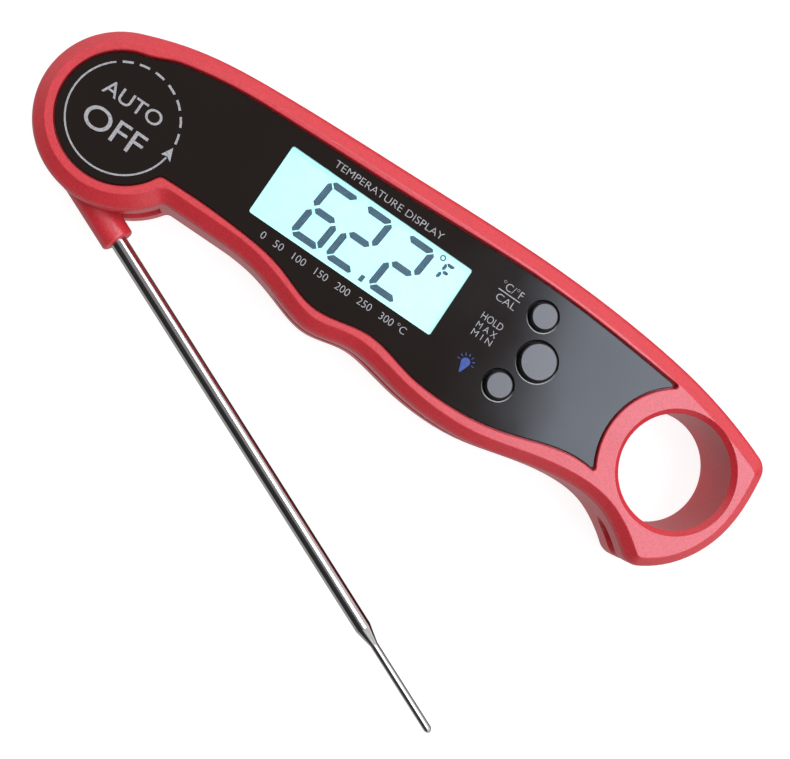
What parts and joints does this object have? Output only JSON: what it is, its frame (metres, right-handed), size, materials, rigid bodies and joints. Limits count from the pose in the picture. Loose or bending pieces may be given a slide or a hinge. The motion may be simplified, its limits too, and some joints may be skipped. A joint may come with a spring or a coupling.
{
  "type": "folding probe thermometer",
  "caption": "Folding digital probe thermometer: curved handle with display, push buttons and a hanging ring, and a stepped steel probe that swings out of its round end.",
  "frame": {"origin": "on the pivot's axis, on the handle's flat back", "axes": "+Z out of the face, +X from the pivot end to the hanging ring, +Y towards the long upper edge; the thermometer lies on its back"},
  "size_m": [0.1669, 0.0949, 0.02],
  "materials": {
    "red_shell": "satin, fine moulded texture",
    "red_arm": "satin",
    "red_cover": "satin",
    "plate_black": "polished",
    "window_clear": "polished",
    "display_glass": "polished",
    "backlight_white": "diffusing",
    "led_white": "moulded",
    "frame_white": "moulded",
    "zebra_rubber": "matt",
    "board_green": "solder mask",
    "chip_black": "moulded",
    "crystal_can": "drawn can",
    "capacitor_tan": "fired",
    "reed_glass": "polished",
    "switch_black": "moulded",
    "plunger_black": "moulded",
    "button_black": "smooth",
    "seal_black": "matt",
    "screw_steel": "plated",
    "cell_steel": "brushed",
    "contact_spring": "plated spring",
    "magnet_nickel": "nickel plated",
    "axle_brass": "turned",
    "bush_white": "acetal",
    "washer_steel": "spring steel",
    "lead_insulation": "insulation",
    "probe_steel": "polished stainless",
    "bead_epoxy": "epoxy",
    "adhesive_tape": "foam tape"
  },
  "bodies": {
    "handle": {"front_shell": "red_shell", "rear_shell": "red_shell", "housing_seal": "seal_black", "housing_screws": "screw_steel", "face_plate": "plate_black", "face_plate_adhesive": "adhesive_tape", "display_window": "window_clear", "lcd_glass": "display_glass", "backlight_panel": "backlight_white", "backlight_led": "led_white", "lcd_frame": "frame_white", "zebra_strip": "zebra_rubber", "main_board": "board_green", "controller_chip": "chip_black", "crystal": "crystal_can", "board_capacitors": "capacitor_tan", "reed_switch": "reed_glass", "tact_switches": "switch_black", "button_seals": "seal_black", "board_screws": "screw_steel", "battery": "cell_steel", "battery_contact_negative": "contact_spring", "battery_contact_positive": "contact_spring", "back_magnets": "magnet_nickel", "pivot_axle": "axle_brass", "pivot_washers": "washer_steel", "pivot_seals": "seal_black", "board_leads": "lead_insulation"},
    "arm": {"probe_arm": "red_arm", "pivot_bush": "bush_white", "probe_tube": "probe_steel", "sensor_bead": "bead_epoxy", "sensor_leads": "lead_insulation", "arm_magnet": "magnet_nickel"},
    "cover": {"battery_cover": "red_cover", "battery_cover_seal": "seal_black"},
    "unit_key": {"unit_button": "button_black", "unit_plunger": "plunger_black"},
    "hold_key": {"hold_button": "button_black", "hold_plunger": "plunger_black"},
    "light_key": {"light_button": "button_black", "light_plunger": "plunger_black"}
  },
  "joints": [
    {"name": "probe_fold", "type": "hinge", "parent": "handle", "child": "arm", "pos_m": [0, 0, 0.0095], "axis": [0, 0, 1], "range_deg": [-155.9, 24.1]},
    {"name": "battery_cover_turn", "type": "hinge", "parent": "handle", "child": "cover", "pos_m": [0.057, 0.006, 0.0016], "axis": [0, 0, -1], "range_deg": [0, 30]},
    {"name": "unit_press", "type": "slide", "parent": "handle", "child": "unit_key", "axis": [0, 0, -1], "range_m": [0, 0.0006], "stiffness_N_per_m": 1500, "springref_m": -0.0003},
    {"name": "hold_press", "type": "slide", "parent": "handle", "child": "hold_key", "axis": [0, 0, -1], "range_m": [0, 0.0006], "stiffness_N_per_m": 1500, "springref_m": -0.0003},
    {"name": "light_press", "type": "slide", "parent": "handle", "child": "light_key", "axis": [0, 0, -1], "range_m": [0, 0.0006], "stiffness_N_per_m": 1500, "springref_m": -0.0003}
  ]
}
